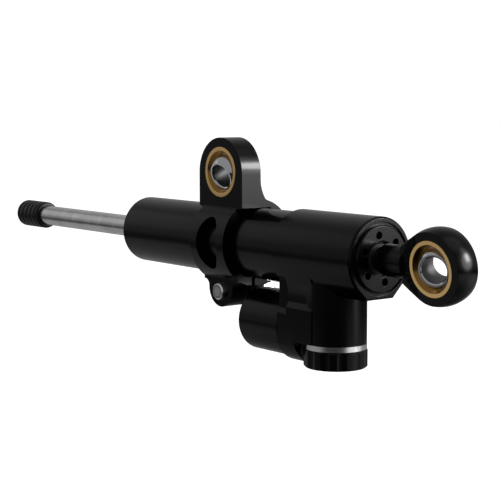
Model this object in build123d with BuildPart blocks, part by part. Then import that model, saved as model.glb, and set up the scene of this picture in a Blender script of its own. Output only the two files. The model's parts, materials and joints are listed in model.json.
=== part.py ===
from build123d import *
from math import cos, radians, sin, sqrt, tan
import os

# Adjustable steering damper of a motorcycle: a through rod damper with a side reservoir, a clamp with
# a spherical bearing round its tube, and a second spherical bearing in the eye of its rod.
# Lengths are in millimetres. X is the damper's axis, +Z is up, and the origin is the centre of the
# rod end's ball. The pieces stand as they do with the rod pushed almost fully in.

os.makedirs("parts", exist_ok=True)

# Fits that all pieces share
seat_gap = 0.02         # between pieces that are screwed or pressed together
slide_gap = 0.05        # radial, between pieces that slide or turn on each other
overrun = 3.0           # how far a cut runs past the face that it opens
edge_break = 0.4        # small chamfer on turned edges

# Stations along the damper's axis
eye_to_housing = 25.05  # rod end's ball to the housing's end face
housing_length = 37.7
tube_shown = 89.6       # main tube outside the housing
rod_tail = 95.4         # rod and bumper past the tube's end
clamp_reach = 32.6      # housing's inner face to the clamp's middle
boss_reach = 17.1       # housing's inner face to the adjuster's axis

housing_right = -eye_to_housing
housing_left = housing_right - housing_length
tube_left = housing_left - tube_shown
rod_tip = tube_left - rod_tail
clamp_x = housing_left - clamp_reach
boss_x = housing_left + boss_reach

# Main tube
tube_r = 12.0
tube_wall = 2.0
spigot_step = 1.0       # how far the tube's end in the housing is turned down
bore_r = tube_r - tube_wall
spigot_r = tube_r - spigot_step

# Rod, piston and what holds them together
rod_r = 4.0
rod_thread_r = 3.0
rod_thread_length = 9.0
shank_gap = 2.8         # housing's end face to the eye's shank
piston_length = 14.0
piston_play = 0.15      # radial, piston to bore
retract_room = 3.8      # piston to the tube gland with the rod pushed almost fully in
band_width = 5.0
band_depth = 1.0
clip_wire = 0.9
clip_height = 1.1       # how far a clip stands out of the rod
clip_arc = 320.0

# Glands at both ends
gland_recess = 1.0      # gland's face below the rim of its bore
tube_gland_length = 18.0
end_cap_length = 17.0
land_step = 0.9         # width of the dark groove round a gland's raised land
land_height = 1.2
wiper_share = 0.267     # of the way from the rod to the bore
wiper_depth = 3.0
wiper_lip = 0.6
seal_share = 0.4        # of the way from the rod to the bore
seal_length = 3.5
seal_lip = 1.2
rod_passage = 0.3       # radial, gland's wall to rod
gland_wall = 2.0        # wall between the wiper and the seal
pin_circle_share = 0.367  # of the way from the wiper to the edge of the land
pin_hole_r = 1.22
pin_hole_depth = 3.4
pin_hole_count = 6
pin_hole_turn = 40.0
ring_groove_width = 2.2
ring_groove_depth = 1.4

wiper_r = rod_r + wiper_share * (bore_r - rod_r)
seal_r = rod_r + seal_share * (bore_r - rod_r)

# Valve housing
housing_wall = 2.0      # round the tube's end
housing_rim_width = 1.6 # round the end cap
housing_rim = 0.6
pad_inset = 0.4         # flat pad under the housing, above the barrel's lowest line
pad_slope = 45.0        # degrees, the slopes beside the pad run on into the barrel
web_half_width = 9.3
lobe_r = 11.5
lobe_length = 9.0
boss_r = 10.0
boss_drop = 28.6        # boss's end below the axis

housing_r = spigot_r + housing_wall
end_cap_thread_r = housing_r - housing_rim_width
pad_drop = housing_r - pad_inset

# Reservoir
reservoir_drop = 25.2   # reservoir's axis below the damper's axis
reservoir_shown = 20.5  # reservoir tube outside the housing
reservoir_r = 10.6
reservoir_bore_r = 9.0
reservoir_spigot_r = 10.0
reservoir_spigot_length = 3.5
oil_pocket_r = 8.5
oil_pocket_depth = 0.9
oil_port_r = 0.8
oil_port_drop = 17.8
tube_port_r = 1.5       # port from the adjuster into the main tube
reservoir_cap_length = 6.0
reservoir_cap_recess = 0.8
cap_pin_circle_r = 5.6
cap_pin_r = 1.0
cap_pin_depth = 2.5
floating_piston_length = 7.0
floating_piston_place = 5.4   # from the reservoir cap's inner face
fill_screw_r = 2.5
fill_screw_socket = 2.5       # across the flats
fill_screw_socket_depth = 2.2

# Adjuster: index ring, knob, spindle, gland, cartridge and needle
index_ring_r = 10.03
index_ring_height = 1.7
index_spigot_r = 8.0
knob_gap = 0.1
knob_r = 10.25
knob_height = 5.95
knob_chamfer = 0.5
knob_relief = 0.95      # radial, relief in the lobe round the knob
flute_count = 12
flute_r = 4.0
flute_depth = 0.45
knob_floor = 0.8
screw_head_r = 3.0
screw_head_height = 1.8
screw_r = 1.5
screw_length = 4.4
screw_socket = 2.0
adjuster_bore_r = 5.5
spindle_gland_length = 6.2
spindle_r = 3.5
spindle_flat = 2.8            # half width over the spindle's two flats
spindle_in_knob = 3.2
collar_r = 4.5
collar_height = 2.1
collar_play = 0.1
cartridge_r = 4.5
cartridge_length = 9.9
needle_thread_r = 3.0
needle_thread_length = 4.4
needle_shift = 0.8            # room below and above the needle's thread in the cartridge
needle_stem_r = 1.6
needle_tip_r = 0.4
needle_cone = 2.7
needle_tail = 2.5             # across the flats of the square tail
needle_tail_length = 4.4
needle_open = 0.6             # how far the needle can rise before it closes the orifice
orifice_r = 1.3
orifice_length = 2.6

# Clamp bracket
clamp_wall = 3.0
clamp_width = 18.8
ear_front = 8.8         # front face before the damper's axis
ear_thickness = 8.0
ear_overhang = 2.7      # how far the ear stands out over each side of the ring
ear_flare = 2.6         # round under the overhang
ear_wall = 0.5          # from the ring up to the bearing's race
ear_blend = 8.0         # round between the back of the ear and the ring
ear_centre_inset = 0.4  # centre of the ear's round top below the bearing's
window_width = 11.8
window_height = 17.8
lug_inset = 2.75        # how far each side of the lug stands in from the ring's
lug_flare = 2.4         # round beside the lug
lug_rise = 1.3          # centre of the lug's round end above the bolt
lug_back = 5.0
slit_width = 1.2
slit_front = 1.9
bolt_r = 2.9
bolt_wall = 2.0         # from the tube to the pinch bolt
bolt_clearance = 0.25
bolt_stand_out = 1.5
bolt_head_r = 4.75
bolt_head_height = 6.0
bolt_socket = 5.0
bolt_socket_depth = 3.0

clamp_r = tube_r + clamp_wall
ear_half_width = clamp_width / 2 + ear_overhang
lug_half_width = clamp_width / 2 - lug_inset
bolt_drop = tube_r + bolt_wall + bolt_r
lug_drop = bolt_drop - lug_rise
lug_flare_drop = lug_drop - lug_flare - seat_gap

# Spherical bearings, both of one size
race_r = 8.5
race_half_width = 4.1
race_face_r = 7.3
race_seat_half_width = 2.9
ball_r = 6.5
ball_half_width = 4.25
mount_bore_r = 4.0
mount_bore_chamfer = 0.4

bearing_height = clamp_r + ear_wall + race_r
ear_centre_height = bearing_height - ear_centre_inset

# Rod-end eye
eye_r = 11.8
eye_half_width = 4.15
eye_spot_r = 11.3
eye_turn = 7.45         # degrees that the eye is turned about the rod
eye_blend = 3.0
shank_r = 5.0

# How the two balls point as the damper is photographed, in degrees
rod_end_yaw = 19.0
rod_end_drop = 10.9
clamp_ball_yaw = 4.3
clamp_ball_drop = 21.4

# Bumper on the rod's free end
bumper_r = 5.5
bumper_length = 17.2
bumper_floor = 2.5
bumper_round = 1.0
rib_pitch = 3.2
rib_count = 5
rib_groove_r = 0.8
rib_groove_depth = 0.4


def pointing(yaw, drop):
    """Direction that looks forward along -Y, turned by yaw towards +X and dropped below the level."""
    level = cos(radians(drop))
    return Vector(sin(radians(yaw)) * level, -cos(radians(yaw)) * level, -sin(radians(drop)))


def frame_about(origin, along, across):
    """Plane whose local x runs along a turning axis and whose local y points across it."""
    return Plane(origin=origin, x_dir=along, z_dir=Vector(along).cross(Vector(across)))


damper_frame = frame_about((0, 0, 0), (1, 0, 0), (0, 0, 1))
reservoir_frame = frame_about((0, 0, -reservoir_drop), (1, 0, 0), (0, 0, 1))
adjuster_frame = frame_about((boss_x, 0, 0), (0, 0, 1), (1, 0, 0))


def turned(points, frame=damper_frame, arc=360.0):
    """Turned piece from the points of its half section, each a place along the axis and a radius."""
    with BuildPart() as piece:
        with BuildSketch(frame):
            with BuildLine():
                Polyline(*points, close=True)
            make_face()
        revolve(axis=Axis(frame.origin, frame.x_dir), revolution_arc=arc)
    return piece


def o_ring(place, floor_r, wall_r, frame=damper_frame):
    """Rubber ring that fills the height between its groove's floor and the wall of the bore."""
    section_r = (wall_r - floor_r) / 2 - slide_gap
    with BuildPart() as piece:
        with BuildSketch(frame):
            with Locations((place, (floor_r + wall_r) / 2)):
                Circle(section_r)
        revolve(axis=Axis(frame.origin, frame.x_dir))
    return piece


def save(piece, name):
    """Labels a piece and writes it to its own file."""
    piece.part.label = name
    export_step(piece.part, f"parts/{name}.step")


# Glands and the seals that they carry, from the outer face inwards

ring_groove_place = land_height + ring_groove_width
seal_place = wiper_depth + gland_wall


def rod_gland(face, inward, length, wall_r):
    """Pin-spanner gland with its outer face at x = face, reaching along inward into a bore of wall_r."""
    rod_hole_r = rod_r + rod_passage
    thread_r = wall_r - seat_gap
    land_r = wall_r - land_step
    groove_floor_r = thread_r - ring_groove_depth
    pin_circle_r = wiper_r + pin_circle_share * (land_r - wiper_r)
    half_section = [
        (0, wiper_r),
        (0, land_r - edge_break),
        (edge_break, land_r),
        (land_height, land_r),
        (land_height, thread_r),
        (ring_groove_place, thread_r),
        (ring_groove_place, groove_floor_r),
        (ring_groove_place + ring_groove_width, groove_floor_r),
        (ring_groove_place + ring_groove_width, thread_r),
        (length, thread_r),
        (length, seal_r),
        (seal_place, seal_r),
        (seal_place, rod_hole_r),
        (wiper_depth, rod_hole_r),
        (wiper_depth, wiper_r),
    ]
    with BuildPart() as piece:
        with BuildSketch(damper_frame):
            with BuildLine():
                Polyline(*[(face + inward * depth, radius) for depth, radius in half_section], close=True)
            make_face()
        revolve(axis=Axis.X)
        with Locations(Plane(origin=(face, 0, 0), x_dir=(0, 1, 0), z_dir=(-inward, 0, 0))):
            with PolarLocations(pin_circle_r, pin_hole_count, start_angle=pin_hole_turn):
                Hole(pin_hole_r, depth=pin_hole_depth)
    return piece


def rod_wiper(face, inward):
    """Wiper with a lip that stands a little out of the gland's face."""
    inner_r = rod_r + slide_gap
    outer_r = wiper_r - seat_gap
    half_section = [
        (wiper_depth - seat_gap, inner_r),
        (wiper_depth - seat_gap, outer_r),
        (0, outer_r),
        (0, (inner_r + outer_r) / 2),
        (-wiper_lip, inner_r + wiper_lip),
        (-wiper_lip, inner_r),
    ]
    return turned([(face + inward * depth, radius) for depth, radius in half_section])


def rod_seal(face, inward):
    """Lip seal behind the wall of the gland, with its groove open towards the oil."""
    inner_r = rod_r + slide_gap
    outer_r = seal_r - seat_gap
    lip = (outer_r - inner_r) / 3
    start = seal_place + seat_gap
    end = seal_place + seal_length
    half_section = [
        (start, inner_r),
        (start, outer_r),
        (end, outer_r),
        (end, outer_r - lip),
        (end - seal_lip, outer_r - lip),
        (end - seal_lip, inner_r + lip),
        (end, inner_r + lip),
        (end, inner_r),
    ]
    return turned([(face + inward * depth, radius) for depth, radius in half_section])


def rod_bush(face, inward, length):
    """Plain bush between the seal and the inner end of the gland."""
    inner_r = rod_r + slide_gap
    outer_r = seal_r - seat_gap
    start = face + inward * (seal_place + seal_length + seat_gap)
    end = face + inward * length
    return turned([(start, inner_r), (start, outer_r), (end, outer_r), (end, inner_r)])


tube_gland_face = tube_left + gland_recess
tube_gland_inner = tube_gland_face + tube_gland_length
end_cap_face = housing_right - gland_recess
end_cap_inner = end_cap_face - end_cap_length
tube_right = end_cap_inner - seat_gap

for gland_name, face, inward, length, wall_r in (
    ("tube_gland", tube_gland_face, 1, tube_gland_length, bore_r),
    ("end_cap", end_cap_face, -1, end_cap_length, end_cap_thread_r),
):
    ring_place = face + inward * (ring_groove_place + ring_groove_width / 2)
    save(rod_gland(face, inward, length, wall_r), gland_name)
    save(rod_wiper(face, inward), f"{gland_name}_wiper")
    save(rod_seal(face, inward), f"{gland_name}_seal")
    save(rod_bush(face, inward, length), f"{gland_name}_bush")
    save(o_ring(ring_place, wall_r - seat_gap - ring_groove_depth, wall_r), f"{gland_name}_o_ring")

# Main tube: a spigot at its right end sits in the housing, and the adjuster's port opens into it

with BuildPart() as main_tube:
    with BuildSketch(damper_frame):
        with BuildLine():
            Polyline(
                (tube_left, bore_r + edge_break),
                (tube_left, tube_r - edge_break),
                (tube_left + edge_break, tube_r),
                (housing_left - seat_gap, tube_r),
                (housing_left - seat_gap, spigot_r),
                (tube_right, spigot_r),
                (tube_right, bore_r),
                (tube_left + edge_break, bore_r),
                close=True,
            )
        make_face()
    revolve(axis=Axis.X)
    with BuildSketch(Plane.XY.offset(-tube_r)):
        with Locations((boss_x, 0)):
            Circle(tube_port_r)
    extrude(amount=tube_r, mode=Mode.SUBTRACT)

save(main_tube, "main_tube")

# Valve housing: barrel with its flat pad, lobe for the reservoir, web, and boss for the adjuster

boss_bottom = -boss_drop
spigot_bottom = boss_bottom - index_ring_height + knob_gap
spindle_gland_top = spigot_bottom + spindle_gland_length
cartridge_bottom = spindle_gland_top + seat_gap
cartridge_top = cartridge_bottom + cartridge_length
lobe_right = housing_left + lobe_length

pad_flank = housing_r * sin(radians(pad_slope))
pad_flank_drop = housing_r * cos(radians(pad_slope))
pad_half_width = pad_flank - (pad_drop - pad_flank_drop) / tan(radians(pad_slope))

with BuildPart() as valve_housing:
    with BuildSketch(Plane.YZ.offset(housing_left)) as barrel_section:
        with BuildLine():
            ThreePointArc(
                (-pad_flank, -pad_flank_drop), (0, housing_r), (pad_flank, -pad_flank_drop)
            )
            Polyline(
                (pad_flank, -pad_flank_drop),
                (pad_half_width, -pad_drop),
                (-pad_half_width, -pad_drop),
                (-pad_flank, -pad_flank_drop),
            )
        make_face()
    extrude(amount=housing_length)
    chamfer(valve_housing.faces().sort_by(Axis.X)[-1].edges(), housing_rim)
    with BuildSketch(Plane.YZ.offset(housing_left)) as lobe_section:
        with Locations((0, -reservoir_drop)):
            Circle(lobe_r)
        with Locations((0, -reservoir_drop / 2)):
            Rectangle(2 * web_half_width, reservoir_drop)
    extrude(amount=lobe_length)
    with BuildSketch(Plane.XY.offset(boss_bottom)):
        with Locations((boss_x, 0)):
            Circle(boss_r)
    extrude(amount=boss_drop)
    with BuildSketch(Plane.XY.offset(boss_bottom)):
        with Locations((boss_x, 0)):
            Circle(knob_r + knob_relief)
    extrude(amount=-(lobe_r + overrun), mode=Mode.SUBTRACT)
    with BuildSketch(Plane.XY.offset(spigot_bottom)):
        with Locations((boss_x, 0)):
            Circle(index_spigot_r - seat_gap)
    extrude(amount=boss_bottom - spigot_bottom)
    # Bore of the tube from the left, and of the end cap from the right
    with BuildSketch(Plane.YZ.offset(housing_left - overrun)):
        Circle(spigot_r + seat_gap)
    extrude(amount=end_cap_inner - housing_left + overrun, mode=Mode.SUBTRACT)
    with BuildSketch(Plane.YZ.offset(end_cap_inner)):
        Circle(end_cap_thread_r)
    extrude(amount=housing_right - end_cap_inner + overrun, mode=Mode.SUBTRACT)
    # Bore of the reservoir, with its oil pocket and the port to the adjuster
    with BuildSketch(Plane.YZ.offset(housing_left - overrun)):
        with Locations((0, -reservoir_drop)):
            Circle(reservoir_spigot_r + seat_gap)
    extrude(amount=reservoir_spigot_length + seat_gap + overrun, mode=Mode.SUBTRACT)
    with BuildSketch(Plane.YZ.offset(housing_left)):
        with Locations((0, -reservoir_drop)):
            Circle(oil_pocket_r)
    extrude(amount=reservoir_spigot_length + oil_pocket_depth, mode=Mode.SUBTRACT)
    with BuildSketch(Plane.YZ.offset(housing_left)):
        with Locations((0, -oil_port_drop)):
            Circle(oil_port_r)
    extrude(amount=boss_x - housing_left, mode=Mode.SUBTRACT)
    # Stepped bore of the adjuster, open from below, and its port into the tube
    with BuildSketch(Plane.XY.offset(spindle_gland_top)):
        with Locations((boss_x, 0)):
            Circle(adjuster_bore_r)
    extrude(amount=-(spindle_gland_length + overrun), mode=Mode.SUBTRACT)
    with BuildSketch(Plane.XY.offset(spindle_gland_top)):
        with Locations((boss_x, 0)):
            Circle(cartridge_r + seat_gap)
    extrude(amount=cartridge_top - spindle_gland_top, mode=Mode.SUBTRACT)
    with BuildSketch(Plane.XY.offset(cartridge_top)):
        with Locations((boss_x, 0)):
            Circle(tube_port_r)
    extrude(amount=-cartridge_top, mode=Mode.SUBTRACT)

save(valve_housing, "valve_housing")

# Reservoir: its tube, the floating piston and the cap with the filling screw

reservoir_left = housing_left - reservoir_shown
reservoir_right = housing_left + reservoir_spigot_length
reservoir_ring_floor_r = reservoir_spigot_r - (reservoir_spigot_r - reservoir_bore_r) / 2
reservoir_ring_x = housing_left + reservoir_spigot_length / 2
reservoir_ring_width = reservoir_spigot_length / 3

save(turned([
    (reservoir_left, reservoir_bore_r),
    (reservoir_left, reservoir_r - edge_break),
    (reservoir_left + edge_break, reservoir_r),
    (housing_left - seat_gap, reservoir_r),
    (housing_left - seat_gap, reservoir_spigot_r),
    (reservoir_ring_x - reservoir_ring_width / 2, reservoir_spigot_r),
    (reservoir_ring_x - reservoir_ring_width / 2, reservoir_ring_floor_r),
    (reservoir_ring_x + reservoir_ring_width / 2, reservoir_ring_floor_r),
    (reservoir_ring_x + reservoir_ring_width / 2, reservoir_spigot_r),
    (reservoir_right, reservoir_spigot_r),
    (reservoir_right, reservoir_bore_r),
], reservoir_frame), "reservoir_tube")

save(
    o_ring(reservoir_ring_x, reservoir_ring_floor_r, reservoir_spigot_r + seat_gap, reservoir_frame),
    "reservoir_o_ring",
)

reservoir_cap_face = reservoir_left + reservoir_cap_recess
reservoir_cap_inner = reservoir_cap_face + reservoir_cap_length
reservoir_cap_r = reservoir_bore_r - seat_gap
cap_ring_x = reservoir_cap_face + reservoir_cap_length / 2
cap_ring_floor_r = reservoir_cap_r - ring_groove_depth

with BuildPart() as reservoir_cap:
    with BuildSketch(reservoir_frame):
        with BuildLine():
            Polyline(
                (reservoir_cap_face, 0),
                (reservoir_cap_face, reservoir_cap_r - edge_break),
                (reservoir_cap_face + edge_break, reservoir_cap_r),
                (cap_ring_x - ring_groove_width / 2, reservoir_cap_r),
                (cap_ring_x - ring_groove_width / 2, cap_ring_floor_r),
                (cap_ring_x + ring_groove_width / 2, cap_ring_floor_r),
                (cap_ring_x + ring_groove_width / 2, reservoir_cap_r),
                (reservoir_cap_inner, reservoir_cap_r),
                (reservoir_cap_inner, 0),
                close=True,
            )
        make_face()
    revolve(axis=Axis(reservoir_frame.origin, reservoir_frame.x_dir))
    with Locations(Plane(origin=(reservoir_cap_face, 0, -reservoir_drop), z_dir=(-1, 0, 0))):
        Hole(fill_screw_r + seat_gap)
        with PolarLocations(cap_pin_circle_r, 2):
            Hole(cap_pin_r, depth=cap_pin_depth)

save(reservoir_cap, "reservoir_cap")
save(
    o_ring(cap_ring_x, cap_ring_floor_r, reservoir_bore_r, reservoir_frame),
    "reservoir_cap_o_ring",
)

with BuildPart() as fill_screw:
    with BuildSketch(Plane(origin=(reservoir_cap_inner, 0, -reservoir_drop), z_dir=(-1, 0, 0))):
        Circle(fill_screw_r)
    extrude(amount=reservoir_cap_length)
    with BuildSketch(Plane(origin=(reservoir_cap_face, 0, -reservoir_drop), z_dir=(1, 0, 0))):
        RegularPolygon(fill_screw_socket / 2, 6, major_radius=False)
    extrude(amount=fill_screw_socket_depth, mode=Mode.SUBTRACT)

save(fill_screw, "fill_screw")

floating_left = reservoir_cap_inner + floating_piston_place
floating_right = floating_left + floating_piston_length
floating_r = reservoir_bore_r - slide_gap
floating_ring_x = (floating_left + floating_right) / 2
floating_floor_r = floating_r - ring_groove_depth

save(turned([
    (floating_left, 0),
    (floating_left, floating_r),
    (floating_ring_x - ring_groove_width / 2, floating_r),
    (floating_ring_x - ring_groove_width / 2, floating_floor_r),
    (floating_ring_x + ring_groove_width / 2, floating_floor_r),
    (floating_ring_x + ring_groove_width / 2, floating_r),
    (floating_right, floating_r),
    (floating_right, floating_floor_r),
    (floating_right - edge_break, floating_floor_r),
    (floating_right - edge_break, 0),
], reservoir_frame), "floating_piston")
save(
    o_ring(floating_ring_x, floating_floor_r, reservoir_bore_r, reservoir_frame),
    "floating_piston_o_ring",
)

# Rod with its piston, slide band and clips

shank_left = housing_right + shank_gap
piston_left = tube_gland_inner + retract_room
piston_right = piston_left + piston_length
clip_floor_r = rod_r - clip_wire / 2
rod_left = rod_tip + bumper_floor

rod_points = [
    (rod_left, 0),
    (rod_left, rod_r - edge_break),
    (rod_left + edge_break, rod_r),
]
for groove_start in (piston_left - clip_wire - seat_gap, piston_right + seat_gap):
    rod_points += [
        (groove_start, rod_r),
        (groove_start, clip_floor_r),
        (groove_start + clip_wire, clip_floor_r),
        (groove_start + clip_wire, rod_r),
    ]
rod_points += [
    (shank_left, rod_r),
    (shank_left, rod_thread_r),
    (shank_left + rod_thread_length - edge_break, rod_thread_r),
    (shank_left + rod_thread_length, rod_thread_r - edge_break),
    (shank_left + rod_thread_length, 0),
]
save(turned(rod_points), "piston_rod")

for clip_name, clip_start in (
    ("piston_clip_left", piston_left - clip_wire),
    ("piston_clip_right", piston_right + 2 * seat_gap),
):
    clip_end = clip_start + clip_wire - 2 * seat_gap
    save(turned([
        (clip_start, clip_floor_r + seat_gap),
        (clip_start, rod_r + clip_height),
        (clip_end, rod_r + clip_height),
        (clip_end, clip_floor_r + seat_gap),
    ], arc=clip_arc), clip_name)

piston_r = bore_r - piston_play
band_floor_r = bore_r - slide_gap - band_depth
band_left = (piston_left + piston_right - band_width) / 2
band_right = band_left + band_width

save(turned([
    (piston_left, rod_r + seat_gap),
    (piston_left, piston_r - edge_break),
    (piston_left + edge_break, piston_r),
    (band_left - slide_gap, piston_r),
    (band_left - slide_gap, band_floor_r - slide_gap),
    (band_right + slide_gap, band_floor_r - slide_gap),
    (band_right + slide_gap, piston_r),
    (piston_right - edge_break, piston_r),
    (piston_right, piston_r - edge_break),
    (piston_right, rod_r + seat_gap),
]), "piston")

save(turned([
    (band_left, band_floor_r),
    (band_left, bore_r - slide_gap),
    (band_right, bore_r - slide_gap),
    (band_right, band_floor_r),
]), "piston_band")

# Bumper on the rod's free end, with grooves between its ribs

rod_tip_pocket = rod_tip + bumper_floor - seat_gap
bumper_right = rod_tip + bumper_length

with BuildPart() as rod_bumper:
    with BuildSketch(damper_frame) as bumper_section:
        with Locations((rod_tip, 0)):
            Rectangle(bumper_length, bumper_r, align=(Align.MIN, Align.MIN))
        outer_corners = bumper_section.vertices().group_by(Axis.Y)[-1]
        fillet(outer_corners, bumper_round)
        first_groove = rod_tip + (bumper_length - (rib_count - 1) * rib_pitch) / 2
        with Locations([
            (first_groove + rib * rib_pitch, bumper_r + rib_groove_r - rib_groove_depth)
            for rib in range(rib_count)
        ]):
            Circle(rib_groove_r, mode=Mode.SUBTRACT)
        with Locations((rod_tip_pocket, 0)):
            Rectangle(
                bumper_length, rod_r + seat_gap, align=(Align.MIN, Align.MIN), mode=Mode.SUBTRACT
            )
    revolve(axis=Axis.X)

save(rod_bumper, "rod_bumper")

# Spherical bearings: a race with a round seat, and a bored ball


def bearing_race(frame):
    """Race round the ball, with a wide chamfer at each face that leaves the ball room to tilt."""
    seat_r = ball_r + slide_gap
    mouth_r = sqrt(seat_r**2 - race_seat_half_width**2)
    with BuildPart() as piece:
        with BuildSketch(frame):
            with BuildLine():
                Polyline(
                    (-race_seat_half_width, mouth_r),
                    (-race_half_width, race_face_r),
                    (-race_half_width, race_r),
                    (race_half_width, race_r),
                    (race_half_width, race_face_r),
                    (race_seat_half_width, mouth_r),
                )
                ThreePointArc(
                    (race_seat_half_width, mouth_r), (0, seat_r), (-race_seat_half_width, mouth_r)
                )
            make_face()
        revolve(axis=Axis(frame.origin, frame.x_dir))
    return piece


def bearing_ball(frame):
    """Ball with flat faces and the bore for the mounting bolt."""
    face_r = sqrt(ball_r**2 - ball_half_width**2)
    with BuildPart() as piece:
        with BuildSketch(frame):
            with BuildLine():
                ThreePointArc((-ball_half_width, face_r), (0, ball_r), (ball_half_width, face_r))
                Polyline(
                    (ball_half_width, face_r),
                    (ball_half_width, mount_bore_r + mount_bore_chamfer),
                    (ball_half_width - mount_bore_chamfer, mount_bore_r),
                    (-ball_half_width + mount_bore_chamfer, mount_bore_r),
                    (-ball_half_width, mount_bore_r + mount_bore_chamfer),
                    (-ball_half_width, face_r),
                )
            make_face()
        revolve(axis=Axis(frame.origin, frame.x_dir))
    return piece


eye_normal = pointing(0, eye_turn)
clamp_bearing = Vector(clamp_x, ear_thickness / 2 - ear_front, bearing_height)

save(bearing_race(frame_about((0, 0, 0), eye_normal, (1, 0, 0))), "rod_end_race")
save(
    bearing_ball(frame_about((0, 0, 0), pointing(rod_end_yaw, rod_end_drop), (0, 0, 1))),
    "rod_end_ball",
)
save(bearing_race(frame_about(clamp_bearing, (0, -1, 0), (1, 0, 0))), "clamp_race")
save(
    bearing_ball(frame_about(clamp_bearing, pointing(clamp_ball_yaw, clamp_ball_drop), (0, 0, 1))),
    "clamp_ball",
)

# Rod-end eye: a turned shank and ball head, spot-faced on both sides and bored for the race

neck_x = -sqrt(eye_r**2 - shank_r**2)

with BuildPart() as rod_end_eye:
    with BuildSketch(damper_frame) as eye_section:
        with BuildLine():
            Polyline(
                (eye_r, 0),
                (shank_left, 0),
                (shank_left, shank_r - edge_break),
                (shank_left + edge_break, shank_r),
                (neck_x, shank_r),
            )
            ThreePointArc((neck_x, shank_r), (0, eye_r), (eye_r, 0))
        make_face()
        neck_corner = eye_section.vertices().sort_by_distance((neck_x, shank_r, 0))[0]
        fillet(neck_corner, eye_blend)
    revolve(axis=Axis.X)
    for side in (1, -1):
        with BuildSketch(Plane(origin=eye_normal * side * eye_half_width, z_dir=eye_normal * side)):
            Circle(eye_spot_r)
        extrude(amount=eye_r, mode=Mode.SUBTRACT)
    with BuildSketch(Plane(origin=(0, 0, 0), z_dir=eye_normal)):
        Circle(race_r + seat_gap)
    extrude(amount=eye_r, both=True, mode=Mode.SUBTRACT)
    with BuildSketch(Plane.YZ.offset(shank_left)):
        Circle(rod_thread_r + seat_gap)
    extrude(amount=rod_thread_length + edge_break, mode=Mode.SUBTRACT)

save(rod_end_eye, "rod_end_eye")

# Clamp bracket: ring, ear for the bearing and pinch lug, all of one piece

with BuildPart() as clamp_bracket:
    with BuildSketch(Plane.YZ.offset(clamp_x - clamp_width / 2)) as ring_section:
        Circle(clamp_r)
        with Locations((-ear_front, 0)):
            Rectangle(ear_thickness, bearing_height, align=(Align.MIN, Align.MIN))
        ear_root = ring_section.vertices().sort_by_distance((ear_thickness - ear_front, clamp_r, 0))[0]
        fillet(ear_root, ear_blend)
    extrude(amount=clamp_width)
    with BuildSketch(Plane.XZ.offset(ear_front - ear_thickness)) as ear_outline:
        with Locations((clamp_x, ear_centre_height)):
            Circle(ear_half_width)
        ear_foot = sqrt(clamp_r**2 - ear_front**2)
        with Locations((clamp_x, ear_foot)):
            Rectangle(
                2 * ear_half_width, ear_centre_height - ear_foot, align=(Align.CENTER, Align.MIN)
            )
        with Locations((clamp_x, 0)):
            Rectangle(clamp_width, ear_foot, align=(Align.CENTER, Align.MIN))
        flare_corners = [
            corner
            for corner in ear_outline.vertices()
            if abs(corner.Y - ear_foot) < seat_gap
            and abs(abs(corner.X - clamp_x) - clamp_width / 2) < seat_gap
        ]
        fillet(flare_corners, ear_flare)
    extrude(amount=ear_thickness)
    with BuildSketch(Plane.XZ.offset(ear_front)) as lug_outline:
        with Locations((clamp_x, -lug_drop)):
            Circle(lug_half_width)
        with Locations((clamp_x, -lug_drop)):
            Rectangle(2 * lug_half_width, lug_drop, align=(Align.CENTER, Align.MIN))
        with Locations((clamp_x, -lug_flare_drop)):
            Rectangle(clamp_width, lug_flare_drop / 2, align=(Align.CENTER, Align.MIN))
        lug_corners = [
            corner
            for corner in lug_outline.vertices()
            if abs(corner.Y + lug_flare_drop) < seat_gap
            and abs(abs(corner.X - clamp_x) - lug_half_width) < seat_gap
        ]
        fillet(lug_corners, lug_flare)
    extrude(amount=-(ear_front + lug_back))
    with BuildSketch(Plane.YZ.offset(clamp_x - clamp_width)):
        Circle(tube_r + seat_gap)
    extrude(amount=2 * clamp_width, mode=Mode.SUBTRACT)
    with BuildSketch(Plane.XZ):
        with Locations((clamp_x, 0)):
            Ellipse(window_width / 2, window_height / 2)
    extrude(amount=clamp_r + overrun, mode=Mode.SUBTRACT)
    with BuildSketch(Plane.YZ.offset(clamp_x - clamp_width)):
        with Locations((-slit_front, 0)):
            Rectangle(
                slit_width, lug_drop + lug_half_width + overrun, align=(Align.CENTER, Align.MAX)
            )
    extrude(amount=2 * clamp_width, mode=Mode.SUBTRACT)
    with BuildSketch(Plane.XZ.offset(ear_front)):
        with Locations((clamp_x, bearing_height)):
            Circle(race_r + seat_gap)
    extrude(amount=-(ear_thickness + ear_blend), mode=Mode.SUBTRACT)
    with BuildSketch(Plane.XZ.offset(-lug_back)):
        with Locations((clamp_x, -bolt_drop)):
            Circle(bolt_head_r + bolt_clearance)
    extrude(amount=-clamp_r, mode=Mode.SUBTRACT)
    with BuildSketch(Plane.XZ.offset(ear_front)):
        with Locations((clamp_x, -bolt_drop)):
            Circle(bolt_r + seat_gap)
    extrude(amount=-(ear_front + lug_back), mode=Mode.SUBTRACT)
    with BuildSketch(Plane.XZ.offset(slit_front)):
        with Locations((clamp_x, -bolt_drop)):
            Circle(bolt_r + bolt_clearance)
    extrude(amount=-(slit_front + lug_back), mode=Mode.SUBTRACT)

save(clamp_bracket, "clamp_bracket")

# Pinch bolt: head behind the lug, threaded tip standing out in front

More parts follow.
